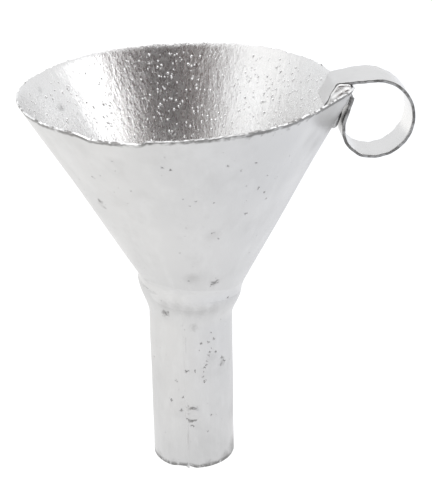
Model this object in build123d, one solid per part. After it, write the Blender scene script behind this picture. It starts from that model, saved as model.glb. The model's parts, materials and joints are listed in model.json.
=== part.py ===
from build123d import *
import os
from math import atan2, cos, degrees, radians, sin

# Canning funnel of tinned sheet: a rolled hopper cone, a rolled spout whose belled top takes the
# cone's lower end, a strip bent into a finger ring at the rim, and the solder that joins them.
# Millimetres, +Z up.  The origin is the centre of the spout's lower end, and +X is the ring's side.

# Driving dimensions: sheet and solder
SHEET = 0.8
SOLDER_FILM = 0.1

# Spout: a straight tube with a lapped seam that is scarfed flush, and a bell at its top.
# Each ring of the bell is given by its two points in the plane of symmetry (x, z).
SPOUT_RADIUS = 16.5
SPOUT_STRAIGHT = 60.0
SPOUT_SEAM_AZIMUTH = -100.0
SPOUT_SEAM_GAP = 0.4
SPOUT_SEAM_SLANT = 50.0
SPOUT_SEAM_PROUD = 0.1
BELL_RINGS = [
    ((-17.0, 67.0), (17.2, 66.5)),
    ((-18.1, 72.3), (18.6, 70.0)),
    ((-19.6, 75.6), (19.8, 72.1)),
    ((-20.3, 80.3), (20.7, 74.8)),
]
NECK_FILLET_TOP = ((-20.3, 83.3), (21.0, 77.6))

# Hopper cone: a round at each end with a nose where the lapped edges meet, and a slightly tilted mouth
NECK_HEIGHT = 72.4
NECK_RADIUS = 16.3
NECK_CENTRE_X = 2.0
NECK_NOSE_RADIUS = 3.0
NECK_NOSE_HALF_ANGLE = 14.0
MOUTH_HEIGHT = 157.3
MOUTH_RADIUS = 60.0
MOUTH_CENTRE_X = -2.9
MOUTH_NOSE_RADIUS = 10.0
MOUTH_NOSE_HALF_ANGLE = 25.5
MOUTH_TILT = Vector(-0.0193, 0.0130, 1.0)
NOSE_AZIMUTH = -8.0

# Where the lapped edges lie on the flat behind the nose, as distances: (neck, mouth)
LAP_INNER_EDGE = (0.3, 7.0)
LAP_OUTER_EDGE = (2.6, 15.0)
LAP_BEAD = (0.4, 1.8)

# Finger ring: foot inside the cone, a run over the rim, the ring, and the end behind the rim
STRIP = 1.3
STRIP_WIDTH = 15.0
STRIP_AZIMUTH = 4.0
STRIP_HEADING = 4.0
FOOT_START = (51.6, 151.0)
FOOT_LENGTH = 8.0
FOOT_BEND = 2.0
STRIP_RUN = 12.3
RING_RADIUS = 15.0
RETURN_RADIUS = 11.5
RETURN_TURN = 108.0
RETURN_LENGTH = 9.0
ROOT_SOLDER = [(52.4, 151.6), (55.9, 158.7), (63.0, 162.0), (63.0, 158.0), (56.0, 152.2)]
ROOT_SOLDER_SPAN = (-7.3, 7.3)
END_SOLDER = [(54.5, 150.5), (60.2, 150.8), (61.6, 154.0), (57.0, 156.8)]
END_SOLDER_SPAN = (-6.5, 3.0)

WALL_ANGLE = degrees(atan2(MOUTH_RADIUS - NECK_RADIUS, MOUTH_HEIGHT - NECK_HEIGHT))
WALL = SHEET / cos(radians(WALL_ANGLE))
LAP_STEP = WALL + SOLDER_FILM
NECK_SHAPE = (NECK_RADIUS, NECK_NOSE_RADIUS, NECK_NOSE_HALF_ANGLE)
MOUTH_SHAPE = (MOUTH_RADIUS, MOUTH_NOSE_RADIUS, MOUTH_NOSE_HALF_ANGLE)


def end_plane(height, centre_x, normal):
    """Plane of one end of the cone, turned so that its X axis points through the nose."""
    nose = Vector(cos(radians(NOSE_AZIMUTH)), sin(radians(NOSE_AZIMUTH)), 0)
    return Plane(origin=(centre_x, 0, height), x_dir=normal.cross(nose).cross(normal), z_dir=normal)


NECK = end_plane(NECK_HEIGHT, NECK_CENTRE_X, Vector(0, 0, 1))
MOUTH = end_plane(MOUTH_HEIGHT, MOUTH_CENTRE_X, MOUTH_TILT)


def nose_point(shape, angle, inset):
    """Point of the rounded nose at an angle from its middle."""
    radius, nose_radius, half_angle = shape
    centre = (radius - nose_radius) / cos(radians(half_angle))
    reach = nose_radius - inset
    return (centre + reach * cos(radians(angle)), reach * sin(radians(angle)))


def flat_point(shape, distance, inset):
    """Point on the flat behind the nose, at a distance from the nose's rounding."""
    half_angle = radians(shape[2])
    start = nose_point(shape, shape[2], inset)
    return (start[0] - distance * sin(half_angle), start[1] + distance * cos(half_angle))


def tangent_point(shape, side, inset):
    """Point where the round of the cone meets a flat: side is 1 behind the nose, -1 before it."""
    reach = shape[0] - inset
    half_angle = radians(shape[2])
    return (reach * cos(half_angle), side * reach * sin(half_angle))


def sheet_edge(shape, outer_edge, inner_edge, inset):
    """One side of the lapped sheet, from its outer edge round the cone to its inner edge."""
    nose = [nose_point(shape, angle, inset) for angle in (shape[2], 0, -shape[2])]
    round_start = tangent_point(shape, -1, inset)
    round_middle = (inset + LAP_STEP / 2 - shape[0], 0)
    round_end = tangent_point(shape, 1, inset + LAP_STEP)
    return [
        Line(flat_point(shape, outer_edge, inset), nose[0]),
        ThreePointArc(*nose),
        Line(nose[2], round_start),
        ThreePointArc(round_start, round_middle, round_end),
        Line(round_end, flat_point(shape, inner_edge, inset + LAP_STEP)),
    ]


def closed_face(side, other_side):
    """Face between two chains of edges that run the same way."""
    caps = [Line(side[0] @ 0, other_side[0] @ 0), Line(side[-1] @ 1, other_side[-1] @ 1)]
    return make_face(Wire(side + other_side + caps))


def sheet_section(shape, outer_edge, inner_edge):
    """Cross-section of the rolled sheet with its lap."""
    outside = sheet_edge(shape, outer_edge, inner_edge, 0)
    inside = sheet_edge(shape, outer_edge, inner_edge, WALL)
    return closed_face(outside, inside)


def filled_section(shape, outer_edge, inner_edge):
    """Everything inside the outside of the rolled sheet."""
    edge = sheet_edge(shape, outer_edge, outer_edge, 0)
    return make_face(Wire(edge + [Line(edge[-1] @ 1, edge[0] @ 0)]))


def void_section(shape, outer_edge, inner_edge):
    """Everything inside the inside of the rolled sheet, just clear of it."""
    edge = sheet_edge(shape, inner_edge, inner_edge, WALL + SOLDER_FILM / 2)
    return make_face(Wire(edge + [Line(edge[-1] @ 1, edge[0] @ 0)]))


def lap_section(shape, outer_edge, inner_edge, bead):
    """Solder between the lapped edges, with a bead along the outer one."""
    corners = [
        flat_point(shape, inner_edge, WALL),
        flat_point(shape, outer_edge, WALL),
        flat_point(shape, outer_edge, SOLDER_FILM),
        flat_point(shape, outer_edge + bead, LAP_STEP),
        flat_point(shape, inner_edge, LAP_STEP),
    ]
    return make_face(Polyline(*corners, close=True))


def cone_between(section, *extra):
    """Straight-sided solid from the neck's section to the mouth's."""
    low = section(NECK_SHAPE, LAP_OUTER_EDGE[0], LAP_INNER_EDGE[0], *[pair[0] for pair in extra])
    high = section(MOUTH_SHAPE, LAP_OUTER_EDGE[1], LAP_INNER_EDGE[1], *[pair[1] for pair in extra])
    return loft([NECK * low, MOUTH * high], ruled=True)


def disc_between(left, right, inset):
    """Disc whose diameter joins two points (x, z) of the plane of symmetry, less an inset."""
    start, end = Vector(left[0], 0, left[1]), Vector(right[0], 0, right[1])
    across = end - start
    plane = Plane(origin=(start + end) / 2, x_dir=across, z_dir=across.cross(Vector(0, 1, 0)))
    return plane * make_face(CenterArc((0, 0), across.length / 2 - inset, 0, 360))


def spout_body(inset):
    """Spout as a solid plug: a straight tube that opens into the bell."""
    radius = SPOUT_RADIUS - inset
    start = disc_between((-SPOUT_RADIUS, SPOUT_STRAIGHT), (SPOUT_RADIUS, SPOUT_STRAIGHT), inset)
    bell = loft([start] + [disc_between(left, right, inset) for left, right in BELL_RINGS])
    return Pos(0, 0, SPOUT_STRAIGHT / 2) * Cylinder(radius, SPOUT_STRAIGHT) + bell


def seam_blade():
    """Slanted blade through the straight spout's wall, along its seam."""
    blade = Box(4 * SHEET, SPOUT_SEAM_GAP, SPOUT_STRAIGHT, align=(Align.CENTER, Align.CENTER, Align.MIN))
    wall = Rot(0, 0, SPOUT_SEAM_AZIMUTH) * Pos(SPOUT_RADIUS - SHEET / 2, 0, 0)
    return wall * Rot(0, 0, SPOUT_SEAM_SLANT) * blade


def strip_side(inset):
    """One side of the strip, from its foot over the rim, round the ring and back up."""
    heading = Vector(sin(radians(WALL_ANGLE)), cos(radians(WALL_ANGLE)))
    start = Vector(*FOOT_START) + Vector(heading.Y, -heading.X) * inset
    foot = Line(start, start + heading * FOOT_LENGTH)
    bend = JernArc(foot @ 1, foot % 1, FOOT_BEND - inset, WALL_ANGLE + STRIP_HEADING - 90)
    run = Line(bend @ 1, (bend @ 1) + (bend % 1) * STRIP_RUN)
    ring = JernArc(run @ 1, run % 1, RING_RADIUS - inset, -180 - STRIP_HEADING)
    back = JernArc(ring @ 1, ring % 1, RETURN_RADIUS - inset, -RETURN_TURN)
    end = Line(back @ 1, (back @ 1) + (back % 1) * RETURN_LENGTH)
    return [foot, bend, run, ring, back, end]


def across_strip(face, span):
    """Solid with a given outline in the strip's own plane, between two places across its width."""
    solid = extrude(Plane.XZ.offset(-span[1]) * face, span[1] - span[0])
    hinge = Pos(MOUTH_CENTRE_X + MOUTH_RADIUS, 0, 0)
    return hinge * Rot(0, 0, STRIP_AZIMUTH) * hinge.inverse() * solid


def largest(shape):
    """The main solid of a cut shape, without slivers."""
    return max(shape.solids(), key=lambda solid: solid.volume)


# Cone, its lap seam, and the filled and hollow forms that other pieces are trimmed with
hopper_cone = cone_between(sheet_section)
cone_seam_solder = cone_between(lap_section, LAP_BEAD)
cone_filled = cone_between(filled_section)
cone_void = cone_between(void_section)

# Spout and its seam
spout_outside, spout_inside = spout_body(0), spout_body(SHEET)
spout_tube = spout_outside - spout_inside - seam_blade() - cone_filled
seam_ring = Pos(0, 0, SPOUT_STRAIGHT / 2) * (
    Cylinder(SPOUT_RADIUS + SPOUT_SEAM_PROUD, SPOUT_STRAIGHT) - Cylinder(SPOUT_RADIUS - SHEET, SPOUT_STRAIGHT)
)
spout_seam_solder = seam_blade() & seam_ring

# Solder that fills the bell round the cone and rises in a fillet above its lip
above_neck = Pos(0, 0, NECK_HEIGHT) * Cylinder(
    2 * SPOUT_RADIUS, SPOUT_RADIUS, align=(Align.CENTER, Align.CENTER, Align.MIN)
)
neck_fillet = loft([disc_between(*BELL_RINGS[-1], 0), disc_between(*NECK_FILLET_TOP, 0)], ruled=True)
neck_solder = (spout_inside & above_neck) + neck_fillet - cone_filled - cone_seam_solder

# Finger ring and the solder at its two ends
strip_span = (-STRIP_WIDTH / 2, STRIP_WIDTH / 2)
hanging_ring = across_strip(closed_face(strip_side(-STRIP / 2), strip_side(STRIP / 2)), strip_span)
root_block = across_strip(make_face(Polyline(*ROOT_SOLDER, close=True)), ROOT_SOLDER_SPAN)
end_block = across_strip(make_face(Polyline(*END_SOLDER, close=True)), END_SOLDER_SPAN)
ring_root_solder = (root_block & cone_void) - hanging_ring
ring_end_solder = end_block - cone_filled - cone_seam_solder - hanging_ring

NODES = {
    "hopper_cone": hopper_cone,
    "cone_seam_solder": cone_seam_solder,
    "spout_tube": largest(spout_tube),
    "spout_seam_solder": largest(spout_seam_solder),
    "neck_solder": largest(neck_solder),
    "hanging_ring": hanging_ring,
    "ring_root_solder": largest(ring_root_solder),
    "ring_end_solder": largest(ring_end_solder),
}

os.makedirs("parts", exist_ok=True)
for name, shape in NODES.items():
    export_step(shape, f"parts/{name}.step")
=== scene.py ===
"""Looks of a canning funnel of tinned sheet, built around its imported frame."""

import json
import logging
import math
import random
from contextlib import contextmanager
from dataclasses import dataclass
from enum import Enum
from typing import Callable, Iterator

import bmesh
import bpy
from mathutils import Euler, Matrix, Vector, noise


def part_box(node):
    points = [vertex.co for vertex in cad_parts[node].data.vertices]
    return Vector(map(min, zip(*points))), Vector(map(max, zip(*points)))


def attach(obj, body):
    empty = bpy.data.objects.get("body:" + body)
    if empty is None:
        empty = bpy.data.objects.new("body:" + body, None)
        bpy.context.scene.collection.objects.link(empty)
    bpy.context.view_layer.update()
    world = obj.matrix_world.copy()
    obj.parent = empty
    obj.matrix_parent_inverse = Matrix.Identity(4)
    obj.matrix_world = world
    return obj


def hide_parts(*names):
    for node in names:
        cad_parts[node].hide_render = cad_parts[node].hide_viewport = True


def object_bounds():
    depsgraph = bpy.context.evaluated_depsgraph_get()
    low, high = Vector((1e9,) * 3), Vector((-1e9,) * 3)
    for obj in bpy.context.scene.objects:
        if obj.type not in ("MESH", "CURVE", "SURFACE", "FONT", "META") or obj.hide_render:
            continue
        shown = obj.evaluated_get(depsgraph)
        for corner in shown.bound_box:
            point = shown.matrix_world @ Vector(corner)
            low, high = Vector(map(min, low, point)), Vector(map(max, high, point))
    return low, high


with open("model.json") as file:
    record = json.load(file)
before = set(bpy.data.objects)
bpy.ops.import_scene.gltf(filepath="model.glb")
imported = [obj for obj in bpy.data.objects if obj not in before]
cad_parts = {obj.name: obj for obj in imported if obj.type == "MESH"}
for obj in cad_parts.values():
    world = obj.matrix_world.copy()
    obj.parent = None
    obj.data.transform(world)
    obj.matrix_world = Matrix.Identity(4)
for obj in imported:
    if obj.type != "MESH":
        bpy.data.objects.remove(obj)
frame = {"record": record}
CAD_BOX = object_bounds()

LOG = logging.getLogger("funnel")
MM = 0.001
Test = Callable[[Vector], bool]
Socket = bpy.types.NodeSocket
Colour = tuple[float, float, float, float]


def mount(name: str) -> dict:
    """Return the record's mount of that name."""
    return next(m for m in frame["record"]["mounts"] if m["name"] == name)


def smooth(low: float, high: float, value: float) -> float:
    """Return 0 below low, 1 above high and a smooth step between."""
    t = min(max((value - low) / (high - low), 0.0), 1.0)
    return t * t * (3.0 - 2.0 * t)


def bump(value: float, centre: float, width: float) -> float:
    """Return a smooth hill of height 1 about a centre."""
    return math.exp(-(((value - centre) / width) ** 2))


# ---- mesh tools


class Bench:
    """The few hand tools that every piece is made with."""

    @staticmethod
    def clear() -> None:
        """Deselect everything."""
        bpy.ops.object.select_all(action="DESELECT")

    @staticmethod
    def take(piece: bpy.types.Object) -> None:
        """Select one piece alone and make it the active one.

        Args:
            piece: The object to work on.
        """
        Bench.clear()
        piece.select_set(True)
        bpy.context.view_layer.objects.active = piece

    @staticmethod
    @contextmanager
    def editing(piece: bpy.types.Object) -> Iterator[None]:
        """Hold a piece in edit mode with nothing selected.

        Args:
            piece: The mesh object to edit.
        """
        Bench.take(piece)
        bpy.ops.object.mode_set(mode="EDIT")
        bpy.ops.mesh.select_all(action="DESELECT")
        try:
            yield
        finally:
            bpy.ops.object.mode_set(mode="OBJECT")

    @staticmethod
    def pick_vertices(piece: bpy.types.Object, test: Test) -> None:
        """Select the vertices that pass a test, in edit mode.

        Args:
            piece: The object in edit mode.
            test: Says whether a vertex at a place is wanted.
        """
        bpy.context.tool_settings.mesh_select_mode = (True, False, False)
        mesh = bmesh.from_edit_mesh(piece.data)
        for vertex in mesh.verts:
            vertex.select = test(vertex.co)
        mesh.select_flush_mode()
        mesh.select_flush(True)
        bmesh.update_edit_mesh(piece.data)

    @staticmethod
    def modify(piece: bpy.types.Object, kind: str, **settings: object) -> None:
        """Add a modifier and apply it.

        Args:
            piece: The object to change.
            kind: The modifier's type.
            settings: Values for the modifier's own properties.
        """
        Bench.take(piece)
        modifier = piece.modifiers.new(kind.lower(), kind)
        for name, value in settings.items():
            setattr(modifier, name, value)
        bpy.ops.object.modifier_apply(modifier=modifier.name)

    @staticmethod
    def thicken(piece: bpy.types.Object, thickness: float, offset: float) -> None:
        """Make a sheet solid: its second material on the inner side, its third on the rims."""
        settings = {"use_even_offset": True, "material_offset": 1, "material_offset_rim": 2}
        Bench.modify(piece, "SOLIDIFY", thickness=thickness, offset=offset, **settings)

    @staticmethod
    def round_edges(piece: bpy.types.Object, width: float, segments: int) -> None:
        """Round a piece's sharp edges."""
        Bench.modify(
            piece, "BEVEL", width=width, segments=segments, limit_method="ANGLE", angle_limit=math.radians(50)
        )

    @staticmethod
    def join(piece: bpy.types.Object, others: list[bpy.types.Object]) -> None:
        """Join other objects into a piece."""
        Bench.take(piece)
        for other in others:
            other.select_set(True)
        if others:
            bpy.ops.object.join()

    @staticmethod
    def settle(piece: bpy.types.Object, name: str) -> bpy.types.Object:
        """Name a new object and put its place into its mesh.

        Args:
            piece: The new object.
            name: The piece's name.

        Returns:
            The same object.
        """
        Bench.take(piece)
        bpy.ops.object.transform_apply(location=True, rotation=True, scale=True)
        piece.name = name
        piece.data.name = name
        return piece

    @staticmethod
    def shade(piece: bpy.types.Object, angle: float) -> None:
        """Shade a piece smooth except at edges sharper than an angle in degrees."""
        Bench.take(piece)
        bpy.ops.object.shade_smooth_by_angle(angle=math.radians(angle))

    @staticmethod
    def dress(piece: bpy.types.Object, *materials: bpy.types.Material) -> None:
        """Give a piece its material slots in order."""
        piece.data.materials.clear()
        for material in materials:
            piece.data.materials.append(material)

    @staticmethod
    def mount_piece(piece: bpy.types.Object, slot: str, *nodes: str) -> None:
        """Ride a piece on the frame in place of its nodes."""
        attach(piece, "root")
        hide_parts(*nodes)


# ---- stain marks and painted shade


# The funnel's outside in millimetres, for placing stain marks and painted shade on it.
SPOUT_RADIUS = 16.5
BELL_FOOT, BELL_TOP, BELL_OPENS = 60.0, 80.0, 4.0
HOPPER_FLARE = 0.515
NECK_SHIFT, SHIFT_PER_RISE = 1.6, 0.058
# A mark's outline is ragged by a noise of this scale, spread over this many millimetres.
RAGGED_SCALE, RAGGED_SPREAD = 900.0, 3.2


@dataclass(frozen=True)
class Mark:
    """One stain or one patch of painted shade: its azimuth in degrees, and its height, size and stand-off in
    millimetres.
    """

    azimuth: float
    height: float
    size: float = 0.9
    strength: float = 1.0
    stand_off: float = 0.0

    def place(self) -> Vector:
        """Return the mark's place on the outside of the funnel."""
        above_bell = max(self.height - BELL_TOP, 0.0)
        opened = min(max((self.height - BELL_FOOT) / (BELL_TOP - BELL_FOOT), 0.0), 1.0) * BELL_OPENS
        middle = NECK_SHIFT - above_bell * SHIFT_PER_RISE if self.height > BELL_TOP else 0.0
        angle = math.radians(self.azimuth)
        reach = SPOUT_RADIUS + opened + above_bell * HOPPER_FLARE + self.stand_off
        return Vector((middle + reach * math.cos(angle), reach * math.sin(angle), self.height)) * MM


HOPPER_MARKS = (
    Mark(-130, 137), Mark(-137, 124, 1.8), Mark(-136, 121, 0.8), Mark(-122, 121, 0.7), Mark(-113, 134, 0.6),
    Mark(-97, 146), Mark(-94, 145, 0.7), Mark(-85, 130, 0.8), Mark(-74, 151, 0.6), Mark(-72, 145, 0.7, 0.8),
    Mark(-66, 142, 0.8, 0.8), Mark(-60, 144, 0.7), Mark(-47, 124, 0.8), Mark(-58, 120, 0.7), Mark(-76, 113, 0.8),
    Mark(-72, 110, 0.7), Mark(-70, 86, 1.6), Mark(-67, 87, 0.9), Mark(-73, 85, 0.8), Mark(-40, 97, 0.6),
    Mark(-52, 136, 0.6), Mark(-55, 131, 0.6), Mark(-50, 128, 0.7), Mark(-45, 133, 0.6), Mark(-60, 126, 0.5),
    Mark(-118, 127, 0.6), Mark(-108, 129, 0.5), Mark(-88, 128, 0.6), Mark(-90, 131, 0.5), Mark(-125, 139, 0.5),
    Mark(-66, 156.8, 1.7, 0.6), Mark(-61, 157.0, 1.3, 0.7), Mark(-73, 157.6, 1.2, 0.6), Mark(-50, 156.6, 1.8, 0.5),
    Mark(-45, 156.8, 1.4, 0.5), Mark(-40, 157.2, 1.1, 0.5), Mark(-99, 157.8, 1.3, 0.8), Mark(-56, 156.0, 1.0, 0.4),
    Mark(-20, 130, 0.8), Mark(25, 120, 0.8), Mark(60, 135, 1.1), Mark(95, 110, 0.8), Mark(140, 128, 1.0),
    Mark(165, 100, 0.7), Mark(110, 145, 0.7), Mark(-165, 115, 0.9),
)
SPOUT_MARKS = (
    Mark(-124, 70, 2.1), Mark(-128, 68, 1.4), Mark(-120, 71, 0.9), Mark(-46, 76, 0.8), Mark(-63, 75, 0.7),
    Mark(-100, 64, 0.8), Mark(-62, 66, 0.6), Mark(-62, 61, 0.6), Mark(-67, 57, 0.6), Mark(-56, 52, 0.6),
    Mark(-65, 52.5, 0.6), Mark(-66, 51, 0.7), Mark(-69, 49, 0.6), Mark(-71, 47.5, 0.6), Mark(-72, 46, 0.7),
    Mark(-74, 44, 0.6), Mark(-75, 42, 0.5), Mark(-73, 40, 0.8), Mark(-58, 58, 0.5), Mark(-54, 64, 0.5),
    Mark(-44, 48, 0.7), Mark(-40, 46, 0.8), Mark(-45, 45, 0.7), Mark(-97, 45, 0.8), Mark(-86, 45, 0.6),
    Mark(-122, 31, 0.6), Mark(-80, 54, 0.45), Mark(-62, 54, 0.5),
    Mark(-78, 57, 0.7), Mark(-107, 27, 0.8), Mark(-65, 24, 0.8), Mark(-97, 29.3, 0.6, 0.45),
    Mark(-84, 28.6, 0.6, 0.5), Mark(-97, 22.8, 0.8), Mark(-94, 22.5, 1.0), Mark(-91, 22.4, 1.0),
    Mark(-88, 22.6, 0.8), Mark(-92, 20, 0.7), Mark(-112, 40, 0.5), Mark(-104, 33, 0.5), Mark(-70, 17, 0.5),
    Mark(30, 35, 1.0), Mark(75, 55, 0.8), Mark(120, 22, 1.0), Mark(160, 48, 0.8),
)

RIM_HEIGHT = 158.1
DULL_RIM = range(-101, -58, 3)
RIM_BURR = tuple(Mark(azimuth, RIM_HEIGHT, 2.3, 0.6) for azimuth in DULL_RIM)
RIM_DULL = tuple(Mark(azimuth, RIM_HEIGHT, 3.6, 0.65) for azimuth in DULL_RIM)
HOPPER_SMUDGES_AND_SHADE = RIM_BURR + (
    Mark(-91, 90, 4.5, 0.22), Mark(-76, 112, 5.0, 0.14), Mark(-30, 146, 7.0, 0.16), Mark(-138, 122, 3.0, 0.2),
    # Painted shade: the next three darken the cone beside the ring's return, in the crevice under the strip.
    Mark(-13, 145, 5.0, 0.4), Mark(-9, 150, 4.0, 0.4), Mark(-20, 140, 7.0, 0.2),
    Mark(70, 120, 8.0, 0.12), Mark(150, 140, 9.0, 0.1), Mark(-70, 86, 3.0, 0.2),
)
# Painted shade on the strip's back, in the crevice between its return and the cone.
STRIP_CREVICE_SHADE = (Mark(-1, 144, 10.0, 0.9, 7.0), Mark(-4, 149, 6.0, 0.5, 7.0))
INSIDE_SMUDGES = (Mark(154, 142, 3.0, 0.5), Mark(160, 151, 2.0, 0.3))
SPOUT_SMUDGES_AND_SHADE = (
    # Painted shade: the five marks on this and the next line darken a band under the solder bulge at the neck.
    Mark(-120, 74.5, 5.0, 0.2), Mark(-106, 74, 5.2, 0.22), Mark(-92, 73.5, 5.2, 0.24), Mark(-78, 73, 5.2, 0.24),
    Mark(-64, 72.5, 4.6, 0.18),
    # Painted shade: the marks at heights 1 to 3 on this and the next line darken the spout towards its foot.
    Mark(-87, 64.5, 2.6, 0.32), Mark(-43, 46, 2.6, 0.3), Mark(-62, 50, 4.0, 0.14), Mark(-40, 1, 4.5, 0.5),
    Mark(-14, 3, 7.0, 0.6), Mark(-70, 1, 3.0, 0.34), Mark(-120, 1, 3.0, 0.25), Mark(-150, 2, 3.0, 0.25),
    Mark(-124, 70, 2.6, 0.25), Mark(-10, 20, 8.0, 0.16), Mark(60, 20, 9.0, 0.12), Mark(140, 50, 9.0, 0.12),
)


# ---- materials


def grey(level: float, warmth: float = 0.0) -> Colour:
    """Return a grey, warmer or cooler by a small amount."""
    return (level * (1 + warmth), level, level * (1 - warmth), 1.0)


class Weave:
    """A material's node tree with short names for what the finishes need."""

    def __init__(self, name: str) -> None:
        """Start a material with an empty tree and its output."""
        self.material = bpy.data.materials.new(name)
        self.material.use_nodes = True
        self.tree = self.material.node_tree
        self.tree.nodes.clear()
        self.output = self.tree.nodes.new("ShaderNodeOutputMaterial")
        self.coords = self.tree.nodes.new("ShaderNodeTexCoord")

    def node(self, kind: str, **settings: object) -> bpy.types.Node:
        """Add a node and set its properties.

        Args:
            kind: The node's type after the ShaderNode prefix.
            settings: Values for the node's own properties.

        Returns:
            The new node.
        """
        made = self.tree.nodes.new("ShaderNode" + kind)
        for name, value in settings.items():
            setattr(made, name, value)
        return made

    def put(self, source: object, socket: Socket) -> None:
        """Link a socket to an input, or set the input to a value."""
        if isinstance(source, bpy.types.NodeSocket):
            self.tree.links.new(source, socket)
        else:
            socket.default_value = source

    def stretched(self, across: float, along: float) -> Socket:
        """Return the UV map multiplied by a scale across and along the sheet."""
        mapping = self.node("Mapping")
        self.put(self.coords.outputs["UV"], mapping.inputs["Vector"])
        self.put((across, along, 1.0), mapping.inputs["Scale"])
        return mapping.outputs["Vector"]

    def axis(self, source: str, name: str) -> Socket:
        """Return one axis of the Object or UV coordinates."""
        split = self.node("SeparateXYZ")
        self.put(self.coords.outputs[source], split.inputs["Vector"])
        return split.outputs[name]

    def noise(self, vector: Socket, scale: float, detail: float = 2.0, rough: float = 0.5) -> Socket:
        """Return a noise factor over a vector."""
        made = self.node("TexNoise")
        self.put(vector, made.inputs["Vector"])
        self.put(scale, made.inputs["Scale"])
        self.put(detail, made.inputs["Detail"])
        self.put(rough, made.inputs["Roughness"])
        return made.outputs["Fac"]

    def ramp(self, factor: Socket, low: float, high: float, start: float = 0.0, end: float = 1.0) -> Socket:
        """Return a factor remapped smoothly from low..high to start..end."""
        made = self.node("MapRange", interpolation_type="SMOOTHSTEP")
        self.put(factor, made.inputs["Value"])
        self.put(low, made.inputs["From Min"])
        self.put(high, made.inputs["From Max"])
        self.put(start, made.inputs["To Min"])
        self.put(end, made.inputs["To Max"])
        return made.outputs["Result"]

    def maths(self, operation: str, first: object, second: object = 0.0) -> Socket:
        """Return the result of one arithmetic step."""
        made = self.node("Math", operation=operation)
        self.put(first, made.inputs[0])
        self.put(second, made.inputs[1])
        return made.outputs["Value"]

    def mix(self, factor: object, first: object, second: object) -> Socket:
        """Return one colour mixed into another by a factor."""
        made = self.node("Mix", data_type="RGBA")
        self.put(factor, made.inputs["Factor"])
        self.put(first, made.inputs[6])
        self.put(second, made.inputs[7])
        return made.outputs[2]

    def relief(self, height: Socket, distance: float, strength: object, under: Socket | None = None) -> Socket:
        """Return a bumped normal, over an earlier one if given."""
        made = self.node("Bump")
        self.put(strength, made.inputs["Strength"])
        self.put(distance, made.inputs["Distance"])
        self.put(height, made.inputs["Height"])
        if under is not None:
            self.put(under, made.inputs["Normal"])
        return made.outputs["Normal"]

    def stains_and_shade(self, marks: tuple[Mark, ...], core: float = 0.0) -> Socket | float:
        """Return a factor that is full in the middle of each ragged stain or patch of painted shade.

        Args:
            marks: The stain marks, or the patches of painted shade.
            core: How much of a mark's size is full, from 0 to 1.

        Returns:
            The factor's socket, or 0 where there are none.
        """
        place = self.coords.outputs["Object"]
        ragged = self.node("TexNoise")
        self.put(place, ragged.inputs["Vector"])
        self.put(RAGGED_SCALE, ragged.inputs["Scale"])
        self.put(3.0, ragged.inputs["Detail"])
        moved = self.node("VectorMath", operation="MULTIPLY_ADD")
        self.put(ragged.outputs["Color"], moved.inputs[0])
        self.put((RAGGED_SPREAD * MM,) * 3, moved.inputs[1])
        self.put(place, moved.inputs[2])
        average = Vector((RAGGED_SPREAD / 2,) * 3) * MM
        total = 0.0
        for mark in marks:
            gap = self.node("VectorMath", operation="DISTANCE")
            self.put(moved.outputs["Vector"], gap.inputs[0])
            self.put(mark.place() + average, gap.inputs[1])
            full, none = mark.size * core * MM, mark.size * MM
            near = self.ramp(gap.outputs["Value"], full, none, mark.strength, 0.0)
            total = self.maths("MAXIMUM", near, total)
        return total

    def metal(self, colour: Socket, roughness: object, normal: Socket) -> bpy.types.Material:
        """Finish the tree as bare metal and return the material."""
        shader = self.node("BsdfPrincipled")
        self.put(1.0, shader.inputs["Metallic"])
        self.put(colour, shader.inputs["Base Color"])
        self.put(roughness, shader.inputs["Roughness"])
        self.put(normal, shader.inputs["Normal"])
        self.put(shader.outputs["BSDF"], self.output.inputs["Surface"])
        return self.material

    def glowing(
        self, colour: Colour, roughness: float, glow: Socket, strength: object, gloss: float = 0.5
    ) -> bpy.types.Material:
        """Finish the tree as a dull studio surface that glows, and return the material."""
        shader = self.node("BsdfPrincipled")
        self.put(colour, shader.inputs["Base Color"])
        self.put(roughness, shader.inputs["Roughness"])
        self.put(gloss, shader.inputs["Specular IOR Level"])
        self.put(glow, shader.inputs["Emission Color"])
        self.put(strength, shader.inputs["Emission Strength"])
        self.put(shader.outputs["BSDF"], self.output.inputs["Surface"])
        return self.material


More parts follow.
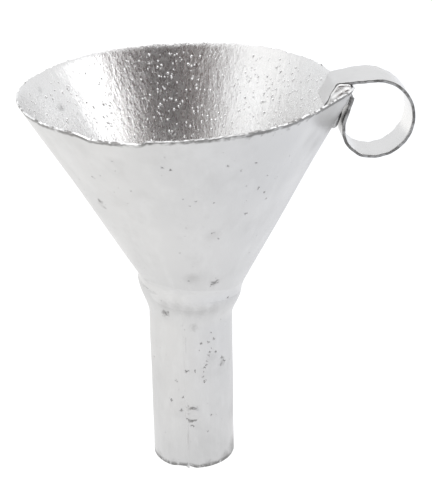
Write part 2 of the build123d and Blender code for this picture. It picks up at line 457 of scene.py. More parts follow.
@dataclass(frozen=True)
class SatinTin:
    """Smooth tinned outside, faintly uneven, with a few pits, a dark band along its cut edge, and smudges that are
    in part painted shade.
    """

    name: str = "satin_tin"
    level: float = 0.585
    roughness: float = 0.34
    edge_band: tuple[float, float] = (0.98, 0.989)
    marks: tuple[Mark, ...] = ()
    smudges_and_shade: tuple[Mark, ...] = ()

    def material(self) -> bpy.types.Material:
        """Return the finish as a material."""
        weave = Weave(self.name)
        place = weave.coords.outputs["Object"]
        cloud = weave.noise(place, 24.0, 3.0)
        patch = weave.noise(place, 75.0, 4.0, 0.6)
        wipe = weave.noise(weave.stretched(26.0, 5.0), 1.0, 4.0, 0.65)
        speck = weave.ramp(weave.noise(place, 480.0, 3.0, 0.6), 0.70, 0.76, 0.0, 0.55)
        stain = weave.maths("MAXIMUM", speck, weave.stains_and_shade(self.marks, 0.25))
        light, dim, dull = grey(self.level * 1.03, 0.004), grey(self.level * 0.97), grey(self.level * 0.84, 0.006)
        base = weave.mix(weave.ramp(cloud, 0.3, 0.7), light, dim)
        base = weave.mix(weave.ramp(patch, 0.5, 0.68, 0.0, 0.28), base, dull)
        base = weave.mix(weave.ramp(wipe, 0.45, 0.7, 0.0, 0.3), base, grey(self.level * 1.16))
        broken = weave.ramp(weave.noise(weave.stretched(46.0, 30.0), 1.0, 4.0, 0.7), 0.36, 0.52)
        # A dark band along the cut edge, broken by noise.
        edge_band = weave.maths("MULTIPLY", weave.ramp(weave.axis("UV", "Y"), *self.edge_band), broken)
        smudge_and_shade, pit, edge_band_colour = grey(0.16, 0.03), grey(0.14, 0.03), grey(0.15, 0.02)
        # Painted shade: the smudges darken the spout under the neck's bulge and towards its foot, and the cone
        # beside the ring's return.
        base = weave.mix(weave.stains_and_shade(self.smudges_and_shade), base, smudge_and_shade)
        colour = weave.mix(weave.maths("MULTIPLY", stain, 0.7), base, pit)
        colour = weave.mix(weave.maths("MULTIPLY", edge_band, 0.8), colour, edge_band_colour)
        rough = weave.ramp(cloud, 0.3, 0.7, self.roughness - 0.04, self.roughness + 0.06)
        dents = weave.relief(weave.noise(place, 55.0, 2.0), 0.8 * MM, 0.35)
        grain = weave.relief(weave.noise(place, 1100.0, 2.0), 0.05 * MM, 0.4, dents)
        normal = weave.relief(weave.maths("SUBTRACT", 1.0, stain), 0.35 * MM, 0.8, grain)
        return weave.metal(colour, rough, normal)


@dataclass(frozen=True)
class BrightTin:
    """Bright tinned inside with streaks down the cone, wiped smoother away from the ring."""

    name: str = "bright_tin"
    level: float = 0.84
    roughness: float = 0.27
    wiped: tuple[float, float] = (-50.0 * MM, -28.0 * MM)
    smudges_and_shade: tuple[Mark, ...] = ()

    def material(self) -> bpy.types.Material:
        """Return the finish as a material."""
        weave = Weave(self.name)
        place = weave.coords.outputs["Object"]
        fine = weave.noise(weave.stretched(300.0, 34.0), 1.0, 4.0, 0.7)
        broad = weave.noise(weave.stretched(120.0, 12.0), 1.0, 3.0, 0.6)
        grit = weave.noise(place, 420.0, 4.0, 0.65)
        cloud = weave.noise(place, 40.0, 3.0)
        colour = weave.mix(weave.ramp(cloud, 0.3, 0.75), grey(self.level), grey(self.level * 0.93, 0.006))
        colour = weave.mix(weave.stains_and_shade(self.smudges_and_shade), colour, grey(0.3))
        rough = weave.ramp(fine, 0.3, 0.75, self.roughness - 0.03, self.roughness + 0.06)
        wiped = weave.ramp(weave.axis("Object", "X"), *self.wiped, 0.3, 1.0)
        streaks = weave.relief(broad, 0.4 * MM, 0.5)
        streaks = weave.relief(fine, 0.26 * MM, weave.maths("MULTIPLY", wiped, 0.6), streaks)
        normal = weave.relief(grit, 0.3 * MM, weave.maths("MULTIPLY", wiped, 0.5), streaks)
        return weave.metal(colour, rough, normal)


@dataclass(frozen=True)
class FrozenGrain:
    """Small bright beads of tin that froze on the inner face."""

    name: str = "frozen_grain"
    level: float = 0.96
    roughness: float = 0.12

    def material(self) -> bpy.types.Material:
        """Return the finish as a material."""
        weave = Weave(self.name)
        place = weave.coords.outputs["Object"]
        cloud = weave.noise(place, 300.0, 2.0)
        colour = weave.mix(weave.ramp(cloud, 0.35, 0.7), grey(self.level), grey(self.level * 0.9))
        rough = weave.ramp(cloud, 0.3, 0.7, self.roughness - 0.03, self.roughness + 0.06)
        return weave.metal(colour, rough, weave.relief(weave.noise(place, 900.0, 2.0), 0.1 * MM, 0.4))


@dataclass(frozen=True)
class CutEdge:
    """Raw sheared edge of the metal, with dark nicks and dull stretches."""

    name: str = "cut_edge"
    level: float = 0.95
    nicks: tuple[float, float] = (0.51, 0.6)
    nick_level: float = 0.3
    smudges_and_shade: tuple[Mark, ...] = ()

    def material(self) -> bpy.types.Material:
        """Return the finish as a material."""
        weave = Weave(self.name)
        place = weave.coords.outputs["Object"]
        nick = weave.ramp(weave.noise(place, 330.0, 4.0, 0.6), *self.nicks)
        colour = weave.mix(nick, grey(self.level), grey(self.nick_level, 0.02))
        colour = weave.mix(weave.stains_and_shade(self.smudges_and_shade), colour, grey(0.2, 0.02))
        normal = weave.relief(weave.noise(place, 700.0, 3.0), 0.3 * MM, 0.8)
        return weave.metal(colour, 0.4, normal)


@dataclass(frozen=True)
class WipedSolder:
    """Soft solder, wiped while soft: dull bright with a rippled skin."""

    name: str = "wiped_solder"
    level: float = 0.82

    def material(self) -> bpy.types.Material:
        """Return the finish as a material."""
        weave = Weave(self.name)
        place = weave.coords.outputs["Object"]
        cloud = weave.noise(place, 120.0, 3.0)
        colour = weave.mix(weave.ramp(cloud, 0.35, 0.7), grey(self.level), grey(self.level * 0.86, 0.01))
        normal = weave.relief(weave.noise(place, 220.0, 3.0), 0.5 * MM, 0.5)
        return weave.metal(colour, weave.ramp(cloud, 0.3, 0.7, 0.26, 0.4), normal)


@dataclass(frozen=True)
class PaleFloor:
    """Plain pale floor that is lit from within, like a light table, a little more on one side."""

    name: str = "pale_floor"
    glow: float = 0.98
    lean: float = 0.14
    warm: Colour = (1.0, 0.995, 0.985, 1.0)
    cool: Colour = (0.985, 1.0, 1.04, 1.0)

    def material(self) -> bpy.types.Material:
        """Return the finish as a material."""
        weave = Weave(self.name)
        side = weave.axis("Object", "X")
        glow = weave.ramp(side, -0.3, 0.25, self.glow + self.lean, self.glow)
        tint = weave.mix(weave.ramp(side, -0.15, 0.25), self.warm, self.cool)
        return weave.glowing(grey(0.12), 1.0, tint, glow, 0.0)


@dataclass(frozen=True)
class CardBlack:
    """Black card with a faint glow, cool in the middle and warm at both ends."""

    middle: float
    name: str = "card_black"
    cool: Colour = (0.019, 0.018, 0.021, 1.0)
    warm: Colour = (0.075, 0.034, 0.026, 1.0)

    def material(self) -> bpy.types.Material:
        """Return the finish as a material."""
        weave = Weave(self.name)
        away = weave.maths("SUBTRACT", weave.axis("Object", "X"), self.middle)
        end = weave.ramp(weave.maths("ABSOLUTE", away), 0.25, 0.85)
        return weave.glowing((0.05, 0.043, 0.04, 1.0), 0.9, weave.mix(end, self.cool, self.warm), 1.0)


NO_BURR = (2.0, 3.0)


class Metal(Enum):
    """The finishes of the funnel's pieces."""

    OUTSIDE = SatinTin(marks=HOPPER_MARKS, smudges_and_shade=HOPPER_SMUDGES_AND_SHADE)
    INSIDE = BrightTin(smudges_and_shade=INSIDE_SMUDGES)
    # The spout's smudges hold painted shade: a band under the neck's bulge, and darkening towards the foot. Its
    # edge band runs along the foot.
    SPOUT = SatinTin("satin_tin_spout", 0.575, 0.36, (0.026, 0.008), SPOUT_MARKS, SPOUT_SMUDGES_AND_SHADE)
    STRIP = SatinTin("satin_tin_strip", 0.74, 0.3, NO_BURR)
    # Painted shade: a copy of the strip's finish, darkened in the crevice between its return and the cone.
    STRIP_BACK = SatinTin("satin_tin_strip_back_shaded", 0.74, 0.3, NO_BURR, smudges_and_shade=STRIP_CREVICE_SHADE)
    # Painted shade: the strip's cut edges are dark, for the shade on the edge that faces the front.
    STRIP_EDGE = CutEdge("shaded_strip_edge", level=0.36, nicks=(0.38, 0.62), nick_level=0.14)
    SEAM = WipedSolder("spout_seam_tin", 0.56)
    GRAIN = FrozenGrain()
    # The neck takes the spout's first marks and the band of painted shade under its bulge.
    NECK = SatinTin("satin_tin_neck", 0.61, 0.3, NO_BURR, SPOUT_MARKS[:5], SPOUT_SMUDGES_AND_SHADE[:5])
    EDGE = CutEdge(smudges_and_shade=RIM_DULL)
    SOLDER = WipedSolder()
    # Painted shade: darker solder at the ring's return, for the crevice between the cone and the strip.
    FLUX = WipedSolder("crevice_shaded_solder", 0.42)

    def made(self) -> bpy.types.Material:
        """Return the finish's material, made once."""
        return bpy.data.materials.get(self.value.name) or self.value.material()


# ---- rolled sheet


@dataclass
class RolledSheet:
    """A flat blank that is rolled up, thickened and given its finishes."""

    name: str = "rolled_sheet"
    thickness: float = 0.8 * MM
    columns: int = 64
    rows: int = 16
    closed: bool = False
    edge_round: float = 0.14 * MM

    def place(self, turn: float, rise: float) -> Vector:
        """Return where a point of the blank lies once rolled: turn and rise run from 0 to 1."""
        raise NotImplementedError

    def build(self, outside: Metal, inside: Metal, edge: Metal) -> bpy.types.Object:
        """Roll the blank and finish it.

        Args:
            outside: The finish of the outer face.
            inside: The finish of the inner face.
            edge: The finish of the cut edges.

        Returns:
            The finished piece.
        """
        Bench.clear()
        bpy.ops.mesh.primitive_grid_add(
            x_subdivisions=self.columns, y_subdivisions=self.rows, size=1.0, calc_uvs=True
        )
        piece = Bench.settle(bpy.context.object, self.name)
        for vertex in piece.data.vertices:
            vertex.co = self.place(vertex.co.x + 0.5, vertex.co.y + 0.5)
        if self.closed:
            with Bench.editing(piece):
                bpy.ops.mesh.select_all(action="SELECT")
                bpy.ops.mesh.remove_doubles(threshold=0.02 * MM)
        Bench.dress(piece, outside.made(), inside.made(), edge.made())
        Bench.thicken(piece, self.thickness, -1.0)
        Bench.round_edges(piece, self.edge_round, 2)
        Bench.shade(piece, 40.0)
        return piece


@dataclass(frozen=True)
class ConeEnd:
    """One end of the hopper: a round with a nose where the sheet's edges lap."""

    centre: Vector
    radius: float
    nose_radius: float
    nose_half_angle: float
    inner_edge: float
    outer_edge: float

    def reach(self, angle: float) -> float:
        """Return the outline's distance from the centre at an angle in degrees from the nose."""
        away = abs((angle + 180.0) % 360.0 - 180.0)
        half = math.radians(self.nose_half_angle)
        middle = (self.radius - self.nose_radius) / math.cos(half)
        corner = math.degrees(
            math.atan2(self.nose_radius * math.sin(half), middle + self.nose_radius * math.cos(half))
        )
        if away < corner:
            side = middle * math.sin(math.radians(away))
            return middle * math.cos(math.radians(away)) + math.sqrt(self.nose_radius**2 - side**2)
        if away < self.nose_half_angle:
            return self.radius / math.cos(math.radians(away) - half)
        return self.radius


@dataclass
class HopperSheet(RolledSheet):
    """The hopper cone, rolled from one blank with its edges lapped behind the nose."""

    name: str = "hopper_sheet"
    columns: int = 480
    rows: int = 40
    lap: float = 1.0 * MM
    nose_azimuth: float = -8.0
    depth: float = 84.9 * MM
    tilt: tuple[float, float, float] = (-0.0193, 0.0130, 1.0)
    dent: float = 0.35 * MM
    grain_count: int = 2300
    short_cut: float = 1.8 * MM
    short_from: tuple[float, float] = (-126.0, -120.0)
    short_to: tuple[float, float] = (-103.0, -99.5)
    left_bulge: float = 1.3 * MM
    bulge_azimuth: float = 170.0
    bulge_width: float = 32.0
    bare_share: float = 0.49

    def __post_init__(self) -> None:
        """Take the two ends' places from the frame."""
        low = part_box("hopper_cone")[0]
        self.neck = ConeEnd(
            centre=low + Vector((64.55, 60.65, 0)) * MM,
            radius=16.3 * MM,
            nose_radius=3 * MM,
            nose_half_angle=14.0,
            inner_edge=3.5,
            outer_edge=11.5,
        )
        self.mouth = ConeEnd(
            centre=low + Vector((59.65 * MM, 60.65 * MM, self.depth)),
            radius=60 * MM,
            nose_radius=10 * MM,
            nose_half_angle=25.5,
            inner_edge=9.8,
            outer_edge=17.1,
        )
        self.rim_plane = Vector(self.tilt)

    def turn_at(self, azimuth: float) -> float:
        """Return the share of the blank at an azimuth in degrees, near the neck."""
        span = 360.0 + self.neck.outer_edge - self.neck.inner_edge
        angle = (azimuth - self.nose_azimuth) % 360.0
        if angle < self.neck.inner_edge + 4.0:
            angle += 360.0
        return (angle - self.neck.inner_edge) / span

    def rim_wave(self, azimuth: float) -> float:
        """Return how far the hand-cut rim rises at an azimuth in degrees."""
        direction = Vector((math.cos(math.radians(azimuth)), math.sin(math.radians(azimuth)), 0.0))
        slow = noise.noise(direction * 2.5 + Vector((2, 1, 0))) * 0.4 * MM
        quick = noise.noise(direction * 16.0 + Vector((5, 5, 5))) * 0.4 * MM
        nick = noise.noise(direction * 52.0) * 0.55 * MM
        around = (azimuth + 180.0) % 360.0 - 180.0
        short = smooth(*self.short_from, around) * (1.0 - smooth(*self.short_to, around))
        return slow + quick + nick - self.short_cut * short

    def place(self, turn: float, rise: float) -> Vector:
        """Return where a point of the blank lies once rolled."""
        ends = []
        for end in (self.neck, self.mouth):
            angle = end.inner_edge + turn * (360.0 + end.outer_edge - end.inner_edge)
            inset = self.lap * (1.0 - smooth(25.0, 200.0, angle))
            azimuth = math.radians(angle + self.nose_azimuth)
            outward = Vector((math.cos(azimuth), math.sin(azimuth), 0))
            ends.append(end.centre + outward * (end.reach(angle) - inset))
        along = ends[1] - ends[0]
        cut = self.rim_plane.dot(self.mouth.centre - ends[0]) / self.rim_plane.dot(along)
        lift = self.rim_wave(math.degrees(azimuth)) * smooth(0.9, 1.0, rise)
        point = ends[0] + along * cut * rise + along.normalized() * lift
        hollow = noise.noise(point * 26.0) * self.dent * smooth(0.02, 0.25, rise)
        away = abs((math.degrees(azimuth) - self.bulge_azimuth + 180.0) % 360.0 - 180.0)
        growing = 0.25 * rise + 0.75 * smooth(0.6, 1.0, rise)
        hollow += self.left_bulge * bump(away, 0.0, self.bulge_width) * growing
        return point + (outward - Vector((0, 0, 0.5))) * hollow

    def inner_place(self, turn: float, rise: float) -> tuple[Vector, Matrix]:
        """Return a point of the inner face and the turn that lays a grain on it."""
        here = self.place(turn, rise)
        across = (self.place(turn + 0.001, rise) - here).normalized()
        up = (self.place(turn, rise + 0.01) - here).normalized()
        inward = up.cross(across).normalized()
        return here + inward * self.thickness, Matrix((across, up, inward)).transposed()

    def grains(self) -> bpy.types.Object:
        """Scatter grains of tin that froze on the inner face.

        Returns:
            One object with all the grains.
        """
        draw = random.Random(11)
        Bench.clear()
        bpy.ops.mesh.primitive_uv_sphere_add(segments=6, ring_count=4, radius=1.0)
        grain = Bench.settle(bpy.context.object, "grain")
        bead = [vertex.co.copy() for vertex in grain.data.vertices]
        sides = [tuple(face.vertices) for face in grain.data.polygons]
        points, faces = [], []
        for _ in range(self.grain_count):
            turn, rise = draw.random() * 0.97, 0.1 + 0.86 * math.sqrt(draw.random())
            if draw.random() < 0.8 * bump(turn, self.bare_share, 0.1):
                continue
            place, lay = self.inner_place(turn, rise)
            size = (0.22 + 0.34 * draw.random() ** 2) * MM
            spread = Vector((size, size * draw.uniform(0.9, 1.9), size * draw.uniform(0.55, 0.9)))
            lean = Matrix.Rotation(draw.uniform(-0.5, 0.5), 3, "Z")
            faces += [tuple(index + len(points) for index in side) for side in sides]
            points += [place + lay @ (lean @ (point * spread)) for point in bead]
        mesh = bpy.data.meshes.new("grains")
        mesh.from_pydata(points, [], faces)
        bpy.data.objects.remove(grain)
        made = bpy.data.objects.new("grains", mesh)
        bpy.context.scene.collection.objects.link(made)
        Bench.dress(made, Metal.GRAIN.made())
        Bench.shade(made, 180.0)
        return made

    def build(self, outside: Metal, inside: Metal, edge: Metal) -> bpy.types.Object:
        """Roll the hopper and settle the grains on its inner face.

        Args:
            outside: The finish of the outer face.
            inside: The finish of the inner face.
            edge: The finish of the cut edges.

        Returns:
            The finished piece.
        """
        piece = super().build(outside, inside, edge)
        Bench.join(piece, [self.grains()])
        return piece


@dataclass
class SpoutSheet(RolledSheet):
    """The spout, rolled with a seam at the front and belled at the top to take the cone."""

    name: str = "spout_sheet"
    columns: int = 230
    rows: int = 150
    seam_azimuth: float = -101.0
    seam_gap: float = -0.4
    proud: float = 0.05 * MM
    bell_start: float = 0.70
    clipped: float = 0.75 * MM
    droplet_azimuth: float = -91.0
    droplet_height: float = 25.5 * MM
    droplet_radius: float = 3.4 * MM
    droplet_proud: float = 0.6 * MM
    lip_tilt: float = 2.75 * MM
    clear_of_cad: float = 0.2 * MM

    def __post_init__(self) -> None:
        """Take the spout's sizes from the frame."""
        low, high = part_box("spout_tube")
        outside = mount("spout_outside")["dims"]
        self.foot = low.z
        self.radius = outside["r_mm"] * MM
        self.straight = outside["length_mm"] * MM
        self.bell_radius = (high.y - low.y) / 2 - self.clear_of_cad
        self.lip = high.z - self.lip_tilt
        angle = math.radians(self.droplet_azimuth)
        self.droplet = Vector((self.radius * math.cos(angle), self.radius * math.sin(angle), self.droplet_height))

    def turn_at(self, azimuth: float) -> float:
        """Return the share of the blank at an azimuth in degrees."""
        return ((azimuth - self.seam_azimuth) % 360.0) / 360.0

    def place(self, turn: float, rise: float) -> Vector:
        """Return where a point of the blank lies once rolled."""
        angle = self.seam_gap / 2 + turn * (360.0 - self.seam_gap)
        azimuth = math.radians(self.seam_azimuth + angle)
        share = max((rise - self.bell_start) / (1 - self.bell_start), 0.0)
        top = self.lip - self.lip_tilt * math.cos(azimuth)
        if share > 0:
            height = self.straight + (top - self.straight) * share
        else:
            height = self.straight * rise / self.bell_start
        opening = (self.bell_radius - self.radius) * smooth(0.2, 1.0, share)
        edge_lift = self.proud * (1.0 - smooth(0.0, 26.0, angle)) - 0.06 * MM * smooth(330.0, 360.0, angle)
        step = self.clipped * (smooth(335.0, 352.0, angle) + 1.5 * (1.0 - smooth(1.0, 15.0, angle)))
        height += step * (1.0 - smooth(0.0, 0.10, rise))
        direction = Vector((math.cos(azimuth), math.sin(azimuth), 0))
        point = direction * (self.radius + opening + edge_lift) + Vector((0, 0, self.foot + height))
        from_droplet = (point - self.droplet).length / self.droplet_radius
        droplet = self.droplet_proud * (1.0 - smooth(0.7, 1.0, from_droplet))
        hollow = noise.noise(point * 45.0) * 0.22 * MM * smooth(0.0, 0.15, rise)
        return point + direction * (droplet + hollow)


@dataclass
class NeckSolder(RolledSheet):
    """The wiped solder that closes the joint between spout and hopper."""

    hopper: HopperSheet | None = None
    spout: SpoutSheet | None = None
    name: str = "neck_solder_skin"
    thickness: float = 0.5 * MM
    columns: int = 180
    rows: int = 26
    closed: bool = True
    below: float = 0.13
    above: float = 0.055
    bulge: float = 0.22 * MM
    sunk: float = 0.12 * MM

    def place(self, turn: float, rise: float) -> Vector:
        """Return where a point of the band lies, a little proud of the two sheets."""
        azimuth = turn * 360.0
        direction = Vector((math.cos(math.radians(azimuth)), math.sin(math.radians(azimuth)), 0))
        on_spout = 1.0 - self.below * (1.0 - min(rise * 2.0, 1.0))
        on_hopper = 0.11 - 0.028 * direction.x + self.above * (max(rise * 2.0 - 1.0, 0.0) - 0.4)
        low = self.spout.place(self.spout.turn_at(azimuth), on_spout)
        high = self.hopper.place(self.hopper.turn_at(azimuth), on_hopper)
        point = low.lerp(high, smooth(0.42, 0.58, rise))
        lumps = 0.85 + 0.9 * noise.noise(point * 75.0)
        proud = self.bulge * lumps * math.sin(math.pi * rise) ** 1.5 - self.sunk
        return point + direction * proud


# ---- finger ring


@dataclass
class FingerRing:
    """The strip that is bent into a ring: foot, run over the rim, ring and return."""

    name: str = "finger_ring"
    strip: float = 1.3 * MM
    width: float = 15.0 * MM
    azimuth: float = 4.0
    slope: float = 27.2
    heading: float = 4.0
    foot: float = 8.0 * MM
    bend: float = 2.0 * MM
    run: float = 12.3 * MM
    radius: float = 15.0 * MM
    turn: float = 184.0
    return_radius: float = 11.5 * MM
    return_turn: float = 108.0
    return_length: float = 9.0 * MM
    hinge: float = 57.1 * MM
    across: int = 14
    crown: float = 1.1 * MM
    crown_middle: float = 66.0 * MM
    crown_length: float = 8.0 * MM
    edge_round: float = 0.3 * MM

    def __post_init__(self) -> None:
        """Find the ring's middle from the frame."""
        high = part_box("hanging_ring")[1]
        skew = math.radians(self.azimuth)
        reach = (high.x - self.hinge - self.width / 2 * math.sin(skew)) / math.cos(skew)
        self.centre = Vector((self.hinge + reach - self.radius - self.strip / 2, 0, 0))
        self.centre.z = high.z - self.radius - self.strip / 2

    @staticmethod
    def sweep(angle: float, centre: Vector, steps: int) -> None:
        """Spin the selected edge clockwise about an axis across the strip."""
        bpy.ops.mesh.spin(steps=steps, angle=-math.radians(angle), center=centre, axis=(0, 1, 0))

    @staticmethod
    def push(step: Vector, count: int) -> None:
        """Extrude the selected edge along a step, in equal lengths."""
        for _ in range(count):
            bpy.ops.mesh.extrude_region_move(TRANSFORM_OT_translate={"value": step / count})

    @staticmethod
    def along(angle: float) -> Vector:
        """Return the direction at an angle above the level, in degrees."""
        return Vector((math.cos(math.radians(angle)), 0, math.sin(math.radians(angle))))

    def build(self) -> bpy.types.Object:
        """Bend the strip and return it.

        Returns:
            The finished piece.
        """
        run, wall = self.along(self.heading), self.along(90.0 - self.slope)
        over = self.along(self.heading + 90.0)
        bend_turn = 90.0 - self.slope - self.heading
        run_start = self.centre + over * self.radius - run * self.run
        bend_centre = run_start - over * self.bend
        foot_end = bend_centre + self.along(180.0 - self.slope) * self.bend
        Bench.clear()
        bpy.ops.mesh.primitive_plane_add(
            size=self.width,
            location=foot_end - wall * self.foot / 2,
            rotation=(0, -math.radians(90.0 - self.slope), 0),
        )
        piece = bpy.context.object
        piece.scale.x = self.foot / self.width
        Bench.settle(piece, self.name)
        with Bench.editing(piece):
            bpy.ops.mesh.select_all(action="SELECT")
            bpy.ops.mesh.subdivide(number_cuts=self.across - 1)
            Bench.pick_vertices(piece, lambda co: (co - foot_end).dot(wall) > -0.01 * MM)
            self.sweep(bend_turn, bend_centre, 8)
            self.push(run * self.run, 14)
            self.sweep(self.turn, self.centre, 56)
            low = self.centre - Vector((0, 0, self.radius - self.return_radius))
            self.sweep(self.return_turn, low, 28)
            self.push(self.along(self.return_turn - 36.0) * self.return_length, 10)
            bpy.ops.mesh.select_all(action="SELECT")
            bpy.ops.mesh.remove_doubles(threshold=0.02 * MM)
            bpy.ops.transform.rotate(
                value=-math.radians(self.azimuth), orient_axis="Z", center_override=(self.hinge, 0, 0)
            )
        for vertex in piece.data.vertices:
            sway = noise.noise_vector(vertex.co * 60.0) * 0.25 * MM
            edge = smooth(0.6, 1.0, abs(vertex.co.y) / (self.width / 2))
            crown = smooth(-4 * MM, 8 * MM, vertex.co.y) * bump(vertex.co.x, self.crown_middle, self.crown_length)
            if vertex.co.z > self.centre.z + 4 * MM:
                vertex.co.z += self.crown * crown
            vertex.co += sway + noise.noise_vector(vertex.co * 420.0) * 0.3 * MM * edge
        Bench.dress(piece, Metal.STRIP_BACK.made(), Metal.STRIP.made(), Metal.STRIP_EDGE.made())
        Bench.thicken(piece, self.strip, 0.0)
        Bench.round_edges(piece, self.edge_round, 3)
        Bench.shade(piece, 40.0)
        return piece


# ---- solder


@dataclass(frozen=True)
class Drop:
    """A drop out of a joint: middle from its lowest corner and half sizes in mm, lean in degrees."""

    middle: tuple[float, float, float]
    half: tuple[float, float, float]
    lean: float

    def add(self, low: Vector) -> bpy.types.Object:
        """Lay the drop at the joint.

        Args:
            low: The lowest corner of the joint's filling.

        Returns:
            The drop, as an object of its own.
        """
        Bench.clear()
        bpy.ops.mesh.primitive_uv_sphere_add(
            segments=32,
            ring_count=16,
            radius=1.0,
            location=low + Vector(self.middle) * MM,
            rotation=(0, -math.radians(self.lean), 0),
        )
        drop = bpy.context.object
        drop.scale = Vector(self.half) * MM
        return Bench.settle(drop, "drop")


@dataclass
class SolderRun:
    """Solder that fills a joint: the frame's own filling with a soft, rippled skin."""

    node: str
    name: str
    voxel: float
    ripple: float
    swell: float = 0.0
    finish: Metal = Metal.SOLDER
    drops: tuple[Drop, ...] = ()

    def build(self) -> bpy.types.Object:
        """Soften the filling's shape and return it.

        Returns:
            The finished piece.
        """
        source = bpy.data.objects[self.node]
        piece = bpy.data.objects.new(self.name, source.data.copy())
        bpy.context.scene.collection.objects.link(piece)
        piece.data.name = self.name
        with Bench.editing(piece):
            bpy.ops.mesh.select_all(action="SELECT")
            bpy.ops.mesh.remove_doubles(threshold=0.01 * MM)
        Bench.join(piece, [drop.add(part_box(self.node)[0]) for drop in self.drops])
        Bench.modify(piece, "REMESH", mode="VOXEL", voxel_size=self.voxel, use_smooth_shade=True)
        Bench.modify(piece, "SMOOTH", factor=0.5, iterations=6)
        normals = [vertex.normal.copy() for vertex in piece.data.vertices]
        for vertex, normal in zip(piece.data.vertices, normals):
            vertex.co += normal * (self.swell + self.ripple * noise.noise(vertex.co * 260.0))
        Bench.dress(piece, self.finish.made())
        Bench.shade(piece, 60.0)
        return piece


ROOT_DROPS = (Drop((5.6, -1.3, 4.3), (3.9, 1.1, 1.0), 36.0), Drop((7.6, -1.5, 5.8), (1.6, 1.3, 0.9), 20.0))
END_DROPS = (Drop((0.9, 3.4, -4.6), (2.3, 3.7, 5.2), -10.0),)
SOLDER_RUNS = (
    SolderRun("cone_seam_solder", "hopper_lap_bead", voxel=0.22 * MM, ripple=0.12 * MM),
    SolderRun("spout_seam_solder", "spout_seam_bead", voxel=0.12 * MM, ripple=0.03 * MM, finish=Metal.SEAM),
    SolderRun("ring_root_solder", "ring_root_fillet", 0.25 * MM, 0.5 * MM, swell=0.9 * MM, drops=ROOT_DROPS),
    # The return's solder is darkened: painted shade in the crevice.
    SolderRun("ring_end_solder", "ring_end_fillet", 0.25 * MM, 0.3 * MM, finish=Metal.FLUX, drops=END_DROPS),
)


# ---- studio


@dataclass
class Softbox:
    """A soft light that faces the funnel from a direction."""

    name: str
    azimuth: float
    elevation: float
    distance: float
    width: float
    height: float
    radiance: float
    colour: tuple[float, float, float] = (1.0, 1.0, 1.0)

    def build(self) -> None:
        """Hang the light."""
        data = bpy.data.lights.new(self.name, "AREA")
        data.shape = "RECTANGLE"
        data.size, data.size_y = self.width, self.height
        data.energy = self.radiance * math.pi * self.width * self.height
        data.color = self.colour
        light = bpy.data.objects.new(self.name, data)
        bpy.context.scene.collection.objects.link(light)
        light.location, light.rotation_euler = facing(self.azimuth, self.elevation, self.distance)
        light.visible_camera = False


def facing(azimuth: float, elevation: float, distance: float) -> tuple[Vector, Euler]:
    """Return a place around the funnel and the turn that faces its middle.

    Args:
        azimuth: Degrees from the front, towards the finger ring's side.
        elevation: Degrees above the level.
        distance: Metres from the middle of the mouth.

    Returns:
        The place and the rotation.
    """
    middle = Vector((0, 0, CAD_BOX[1].z * 0.8))
    side, up = math.radians(azimuth), math.radians(elevation)
    back = Vector((math.sin(side) * math.cos(up), -math.cos(side) * math.cos(up), math.sin(up)))
    return middle + back * distance, back.to_track_quat("Z", "Y").to_euler()


SOFTBOXES = (
    Softbox("key_light", azimuth=76.0, elevation=24.0, distance=1.1, width=0.4, height=0.7, radiance=2.0),
    Softbox(
        "fill_light", azimuth=-78.0, elevation=30.0, distance=1.2,
        width=1.0, height=0.9, radiance=0.3, colour=(1.0, 0.98, 0.95),
    ),
    Softbox("top_light", azimuth=0.0, elevation=88.0, distance=1.4, width=1.4, height=1.4, radiance=0.9),
)


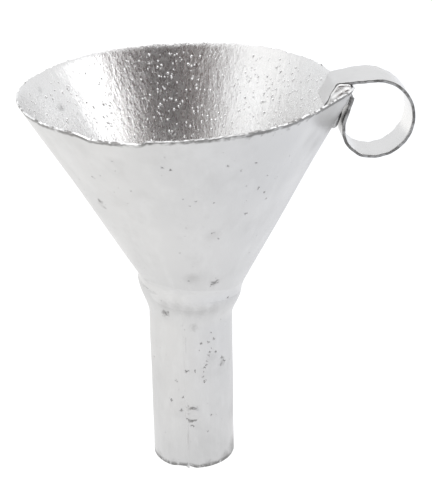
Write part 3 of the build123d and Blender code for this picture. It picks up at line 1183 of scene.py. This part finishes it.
@dataclass
class Studio:
    """Floor, lights and camera."""

    view_elevation: float = 25.54
    view_distance: float = 613.2 * MM
    view_height: float = 78.66 * MM
    yaw: float = -0.989
    pitch: float = 0.951
    roll: float = 1.485
    lens: float = 111.5
    floor_size: float = 12.0
    card_size: tuple[float, float] = (2.2, 1.25)
    world_colour: Colour = (0.985, 0.99, 1.0, 1.0)
    world_strength: float = 0.95

    def camera(self) -> None:
        """Stand the camera in front of the funnel, a little above it, and turn it by yaw, pitch and roll."""
        data = bpy.data.cameras.new("studio_camera")
        camera = bpy.data.objects.new("studio_camera", data)
        bpy.context.scene.collection.objects.link(camera)
        data.lens = self.lens
        data.sensor_width = 36.0
        target = Vector((0, 0, self.view_height))
        elevation = math.radians(self.view_elevation)
        back = Vector((0, -math.cos(elevation), math.sin(elevation)))
        ahead, right = -back, Vector((1, 0, 0))
        up = right.cross(ahead)
        for degrees, axis in ((self.yaw, 2), (self.pitch, 1), (self.roll, 0)):
            turn = Matrix.Rotation(math.radians(degrees), 3, (ahead, right, up)[axis])
            ahead, right, up = turn @ ahead, turn @ right, turn @ up
        basis = Matrix((right, up, -ahead)).transposed()
        camera.matrix_world = Matrix.Translation(target + back * self.view_distance) @ basis.to_4x4()
        bpy.context.scene.camera = camera

    def floor(self) -> None:
        """Lay the floor under the spout."""
        Bench.clear()
        bpy.ops.mesh.primitive_plane_add(size=self.floor_size, location=(0, 0, CAD_BOX[0].z))
        floor = Bench.settle(bpy.context.object, "floor")
        Bench.dress(floor, PaleFloor().material())

    def dark_card(self) -> None:
        """Hang a dark card behind the camera, for the shade inside the mouth."""
        Bench.clear()
        place, turn = facing(14.0, 34.0, 1.3)
        bpy.ops.mesh.primitive_plane_add(size=1.0, location=place, rotation=turn)
        card = bpy.context.object
        card.scale = (*self.card_size, 1.0)
        card = Bench.settle(card, "dark_card")
        Bench.dress(card, CardBlack(place.x).material())
        card.visible_camera = False

    def build(self) -> None:
        """Set up the whole studio."""
        self.camera()
        self.floor()
        self.dark_card()
        for light in SOFTBOXES:
            light.build()
        world = bpy.context.scene.world or bpy.data.worlds.new("studio_world")
        bpy.context.scene.world = world
        world.use_nodes = True
        background = world.node_tree.nodes["Background"]
        background.inputs["Color"].default_value = self.world_colour
        background.inputs["Strength"].default_value = self.world_strength
        bpy.context.scene.view_settings.view_transform = "Standard"


def main() -> None:
    """Build every piece in order, dress it and report it."""
    logging.basicConfig(level=logging.INFO, format="%(message)s")
    Studio().build()
    hopper, spout = HopperSheet(), SpoutSheet()
    neck = NeckSolder(hopper=hopper, spout=spout)
    jobs = [
        (hopper.build(Metal.OUTSIDE, Metal.INSIDE, Metal.EDGE), "tinned_cone", "hopper_cone"),
        (spout.build(Metal.SPOUT, Metal.INSIDE, Metal.EDGE), "tinned_spout", "spout_tube"),
        (neck.build(Metal.NECK, Metal.NECK, Metal.NECK), "solder", "neck_solder"),
        (FingerRing().build(), "tinned_strip", "hanging_ring"),
    ]
    jobs += [(run.build(), "solder", run.node) for run in SOLDER_RUNS]
    for piece, slot, node in jobs:
        Bench.mount_piece(piece, slot, node)
        LOG.info("%s: %d faces, in place of %s", piece.name, len(piece.data.polygons), node)


if __name__ == "__main__":
    main()
